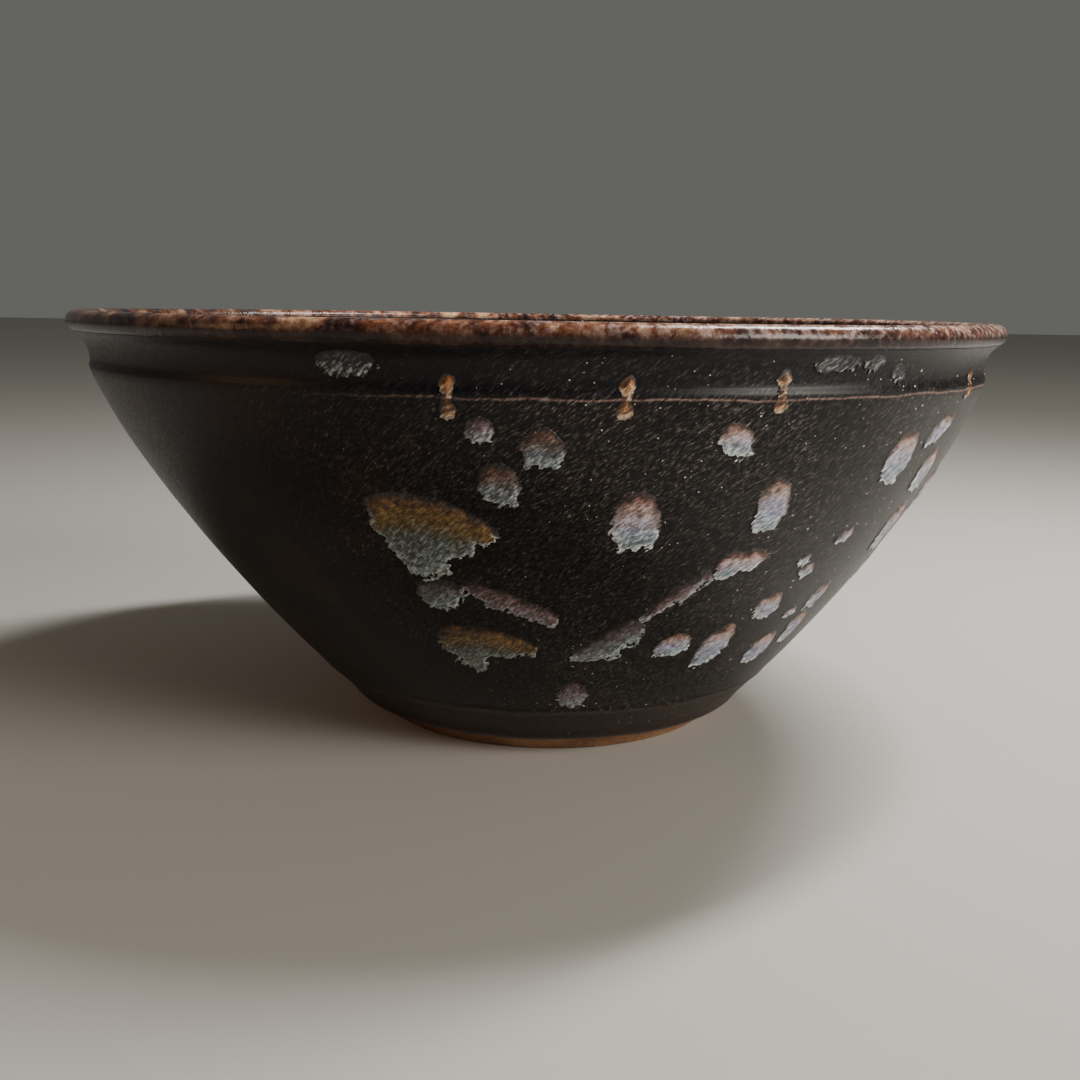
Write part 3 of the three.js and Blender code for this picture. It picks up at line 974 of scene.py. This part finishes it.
# Painted shade: the lower half of the bead, where shade falls, and the lip's left end, on the shaded
# side, are darkened towards #150b0b.
height_up = add(tree, "SeparateXYZ", {0: place}, result="Z")
painted_underside_shade = add(tree, "MapRange", {"Value": height_up, "From Min": LIP_Z - 0.4 * MM,
            "From Max": LIP_Z + 1.2 * MM, "To Min": 0.92, "To Max": 0.0})
left = add(tree, "MapRange", {"Value": to_right, "From Min": -60 * MM, "From Max": -30 * MM,
           "To Min": 0.6, "To Max": 0.0})
for share in (painted_underside_shade, left):
    colour = add(tree, "Mix", {0: share, 6: colour, 7: linear("#150b0b")}, **COLOURS)
roughness = add(tree, "MapRange", {"Value": grain, "To Min": 0.08, "To Max": 0.36})
finish_with(tree, bsdf, colour, roughness, grain, 0.12 * MM)
lip.data.materials.append(rust)
print(rust.name, "has", len(tree.nodes), "nodes")

# %% [markdown]
# ## Ash glaze
#
# Wood-ash glaze is rich in lime and is milky when it cools slowly. Where it has soaked up iron,
# at the head of each island, it is rust or ochre. In the middle its tiny droplets scatter blue
# light, so it looks lilac, and the tail is blue-grey with a rim of white crystals. The ramp
# runs along `fall`, which was stored on each island. `depth` and `tail` fade the head into the
# black and frost the lower rim.

# %% Ash glaze nodes
MOTTLE = 1.3 * MM  # size of the soft patches within an island
FROST = 0.34 * MM  # spacing of the crystals, drawn coarser than real ones so that they show
FROST_STRETCH = 0.5
RIM = 0.9 * MM  # how far in from the edge the white crystals reach
HEAD_MELT, TAIL_MELT = 1.0 * MM, 0.12 * MM  # over what depth the ash hides the black


def frosted(tree, colour, fall, mottle, frosting, frost):
    """Dark veins in the ash, and pale crystals that thicken down the island."""
    dim = add(tree, "MapRange", {"Value": frosting, "From Min": 0.42, "From Max": 0.56, "To Min": 0.6,
              "To Max": 0.0})
    veins = add(tree, "MapRange", {"Value": mottle, "From Min": 0.38, "From Max": 0.55, "To Min": 0.5,
                "To Max": 0.0})
    for shade in (dim, veins):
        colour = add(tree, "Mix", {0: shade, 6: colour, 7: linear("#1d1817")}, **COLOURS)
    bright = add(tree, "MapRange", {"Value": frosting, "From Min": 0.53, "From Max": 0.63,
                 "To Max": 0.75})
    bright = add(tree, "Math", {0: bright, 1: fall}, operation="MULTIPLY")
    return add(tree, "Mix", {0: bright, 6: colour, 7: linear(frost)}, **COLOURS)


def covering(tree, depth, tail, mottle, frosting, cover):
    """How much of the black the ash hides: most in the middle, and none at the very edge."""
    soft = add(tree, "MapRange", {"Value": tail, "To Min": HEAD_MELT, "To Max": TAIL_MELT})
    share = add(tree, "Math", {0: depth, 1: soft}, operation="DIVIDE")
    uneven = add(tree, "MapRange", {"Value": mottle, "From Min": 0.3, "From Max": 0.7, "To Min": 0.7,
                 "To Max": 1.5})
    thin = add(tree, "MapRange", {"Value": frosting, "From Min": 0.42, "From Max": 0.62,
               "To Min": 2 * cover - 1})
    for part in (uneven, thin):
        share = add(tree, "Math", {0: share, 1: part}, operation="MULTIPLY", use_clamp=True)
    return share


def ash_glaze(name, stops, frost, cover=1.0):
    """Ash glaze: colours from head to tail, a frosted rim, and how well it covers the black."""
    material, tree, bsdf = shader(name, {"IOR": 1.52, "Specular IOR Level": 0.35})
    black = black_glaze(tree)[0]
    place = add(tree, "TexCoord", result="Object")
    flow = add(tree, "Attribute", result="Vector", attribute_name="flow")
    fall = add(tree, "Attribute", result="Fac", attribute_name="fall")
    tail = add(tree, "Attribute", result="Fac", attribute_name="tail")
    depth = add(tree, "Attribute", result="Fac", attribute_name="depth")

    mottle = add(tree, "TexNoise", {"Vector": place, "Scale": 1 / MOTTLE, "Detail": 4.0,
                 "Roughness": 0.6})
    drawn = add(tree, "Mapping", {"Vector": flow, "Scale": (1, 1, FROST_STRETCH)})
    frosting = add(tree, "TexNoise", {"Vector": drawn, "Scale": 1 / FROST, "Detail": 4.0,
                   "Roughness": 0.7})
    drift = add(tree, "MapRange", {"Value": mottle, "To Min": -0.28, "To Max": 0.28})
    along = add(tree, "Math", {0: fall, 1: drift}, operation="ADD")
    colour = add(tree, "ValToRGB", {"Fac": along}, stops=stops)
    colour = frosted(tree, colour, fall, mottle, frosting, frost)

    white = add(tree, "MapRange", {"Value": depth, "From Max": RIM, "To Min": 1.0, "To Max": 0.0})
    patchy = add(tree, "MapRange", {"Value": frosting, "From Min": 0.38, "From Max": 0.56,
                 "To Min": 0.1})
    for part in (tail, patchy):
        white = add(tree, "Math", {0: white, 1: part}, operation="MULTIPLY")
    colour = add(tree, "Mix", {0: white, 6: colour, 7: linear(frost)}, **COLOURS)

    share = covering(tree, depth, tail, mottle, frosting, cover)
    colour = add(tree, "Mix", {0: share, 6: black, 7: colour}, **COLOURS)
    roughness = add(tree, "MapRange", {"Value": share, "To Min": 0.28, "To Max": 0.4})
    height = add(tree, "Math", {0: frosting, 1: mottle}, operation="ADD")
    finish_with(tree, bsdf, colour, roughness, height, 0.05 * MM)
    return material


print("crystals in the ash are", round(FROST / MM, 2), "mm apart")

# %% Ash glaze materials
# The ochre-headed and grey-green finishes are the ash's own hues made dimmer, as painted shade.
ochre_head_painted_shade = ash_glaze("Ash glaze with an ochre head, dimmed as painted shade", [
    (0.0, "#3a2413"), (0.1, "#6d4c2a"), (0.24, "#8c6a30"), (0.36, "#74603a"), (0.46, "#5f675f"),
    (0.85, "#7b8783")], "#bcc5c1", 0.85)
rust_headed = ash_glaze("Ash glaze with a rust head", [
    (0.0, "#4a2619"), (0.1, "#7d4e3e"), (0.24, "#b3938b"), (0.42, "#bcabb2"),
    (0.62, "#98a0b4"), (0.82, "#84979a"), (1.0, "#9aabaa")], "#f0f1ee")
peach_headed = ash_glaze("Ash glaze with a peach head", [
    (0.0, "#5a3628"), (0.07, "#96715c"), (0.2, "#c0a498"), (0.42, "#aaa6ba"),
    (0.68, "#8f9db3"), (1.0, "#9aaba7")], "#f6f6f1")
dull_rust = ash_glaze("Ash glaze, dull rust", [
    (0.0, "#3d2016"), (0.2, "#6a4332"), (0.4, "#74645f"), (0.6, "#6e747d"),
    (0.85, "#7d8888")], "#bfc8c8", 0.8)
plum = ash_glaze("Thin ash glaze, plum", [
    (0.0, "#3a2320"), (0.2, "#7d6262"), (0.5, "#95878e"), (0.85, "#99a09f")], "#cbcaca", 0.75)
grey_green_painted_shade = ash_glaze("Thin ash glaze, grey-green, dimmed as painted shade", [
    (0.0, "#463836"), (0.2, "#6c6262"), (0.45, "#6d7776"), (0.85, "#838f8c")], "#c2cbc7", 0.85)
bloom = ash_glaze("Ash bloom", [
    (0.0, "#383534"), (0.4, "#5d6062"), (0.8, "#717677")], "#a9acab", 0.3)
amber = ash_glaze("Ash glaze run, amber", [
    (0.0, "#b08a62"), (0.15, "#b3702c"), (0.45, "#8a4f1a"), (0.75, "#a3682c"), (1.0, "#c9a988")],
    "#dbc5a6", 0.85)

FINISHES = {
    "splash_fan": ochre_head_painted_shade, "splash_bar": ochre_head_painted_shade, "splash_streak": plum,
    "splash_fan_lobe": grey_green_painted_shade, "splash_streak_low": grey_green_painted_shade, "splash_front_low": plum,
    "splash_fan_tail": plum, "splash_left_top": plum, "splash_left": dull_rust,
    "splash_front": rust_headed, "splash_right": peach_headed, "splash_pair": rust_headed,
    "splash_back": rust_headed, "fleck": peach_headed, "bloom": bloom, "run": amber,
}
for node, piece in islands.items():
    kind = max((k for k in FINISHES if node.startswith(k)), key=len)
    piece.data.materials.append(FINISHES[kind])
print(len(set(FINISHES.values())), "ash finishes")

# %% [markdown]
# ## Bare stoneware
#
# Iron-bearing clay fires to a warm orange-brown where the flame reaches it. It is matt and
# sandy: a grit of about half a millimetre, with a few dark iron spots. The real clay also has a
# browner blush next to the glaze, which this finish leaves out.

# % The clay's material
TONE = 9 * MM  # size of the lighter and darker patches
GRIT = 0.5 * MM

stoneware, tree, bsdf = shader("Bare fired stoneware", {"IOR": 1.5, "Specular IOR Level": 0.3})
place = add(tree, "TexCoord", result="Object")
tone = add(tree, "TexNoise", {"Vector": place, "Scale": 1 / TONE, "Detail": 5.0})
grit = add(tree, "TexNoise", {"Vector": place, "Scale": 1 / GRIT, "Detail": 3.0, "Roughness": 0.7})
base = add(tree, "ValToRGB", {"Fac": tone}, stops=[
    (0.3, "#593c2a"), (0.5, "#845d40"), (0.7, "#a07b59")])
speckle = add(tree, "ValToRGB", {"Fac": grit}, stops=[
    (0.36, "#241812"), (0.46, "#6e4c34"), (0.7, "#a5835f")])
colour = add(tree, "Mix", {0: 0.4, 6: base, 7: speckle}, **COLOURS)
roughness = add(tree, "MapRange", {"Value": grit, "To Min": 0.7, "To Max": 0.95})
finish_with(tree, bsdf, colour, roughness, grit, 0.15 * MM)
clay.data.materials.append(stoneware)
print(stoneware.name, "has", len(tree.nodes), "nodes")

# %% [markdown]
# ## Putting the pieces on the frame
#
# Nothing on a bowl moves, so every piece rides on the one body. Each stands for its CAD node,
# which is hidden, and keeps the finish given to it above.

# %% Riding
layers = {"clay_body": clay, "outside_glaze": outside, "lip_glaze": lip, "inside_glaze": inside}
for node, piece in {**layers, **islands}.items():
    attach(piece, "root")
    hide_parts(node)
print(len(layers) + len(islands), "pieces ride on root")

# %% [markdown]
# ## Floor, light and camera
#
# The bowl stands on a plain pale floor. A black glaze is mostly seen by what it reflects, so
# the light is one large soft panel to the right and in front, a long strip that draws the
# highlight along the lip, and very little from the left. The camera is low, just above the lip,
# and looks slightly down.

# %% Floor
bpy.ops.object.select_all(action="DESELECT")
bpy.ops.mesh.primitive_plane_add(size=8, location=(0, 0, 0))
floor = bpy.context.object
floor.name = "floor"
plain, tree, bsdf = shader("Plain pale floor", {"Base Color": linear("#b9b5ae"), "Roughness": 0.9})
floor.data.materials.append(plain)

# %% Lights


def softbox(name, place, target, size, power, colour="#ffffff"):
    """A rectangular area light at a place, turned to a target; all in metres."""
    light = bpy.data.lights.new(name, "AREA")
    light.shape = "RECTANGLE"
    light.size, light.size_y = size
    light.energy = power
    light.color = linear(colour)[:3]
    obj = bpy.data.objects.new(name, light)
    bpy.context.scene.collection.objects.link(obj)
    aim = Vector(target) - Vector(place)
    obj.rotation_euler = aim.to_track_quat("-Z", "Y").to_euler()
    obj.location = place


BOWL_MIDDLE = (0, 0, 0.04)
softbox("key", (1.05, -0.63, 0.42), BOWL_MIDDLE, (0.6, 0.6), 18.5, "#fff8ef")
softbox("lip strip", (0.19, 0.08, 0.38), (0.03, -0.06, 0.066), (0.04, 0.2), 2.6)
softbox("left glow", (-0.5, -0.2, 0.2), BOWL_MIDDLE, (0.06, 0.3), 0.45, "#dba77a")
world = bpy.data.worlds.new("studio")
world.use_nodes = True
room = world.node_tree.nodes["Background"]
room.inputs["Color"].default_value = linear("#c2c4bd")
room.inputs["Strength"].default_value = 0.24
bpy.context.scene.world = world

# %% Camera
CAMERA_PLACE = Vector((0, -0.2079, 0.0682))
PITCH, YAW, ROLL = (math.radians(a) for a in (-11.0, -0.3, 0.96))
lens = bpy.data.cameras.new("camera")
lens.sensor_width = 36
lens.lens = 40.1
lens.clip_start = 0.01
camera = bpy.data.objects.new("camera", lens)
bpy.context.scene.collection.objects.link(camera)
level = Matrix.Rotation(math.radians(90) + PITCH, 4, "X")
camera.matrix_world = (
    Matrix.Translation(CAMERA_PLACE) @ Matrix.Rotation(YAW, 4, "Z") @ level
    @ Matrix.Rotation(ROLL, 4, "Z")
)
bpy.context.scene.camera = camera
print("camera", round(CAMERA_PLACE.length / MM), "mm from the middle of the foot")
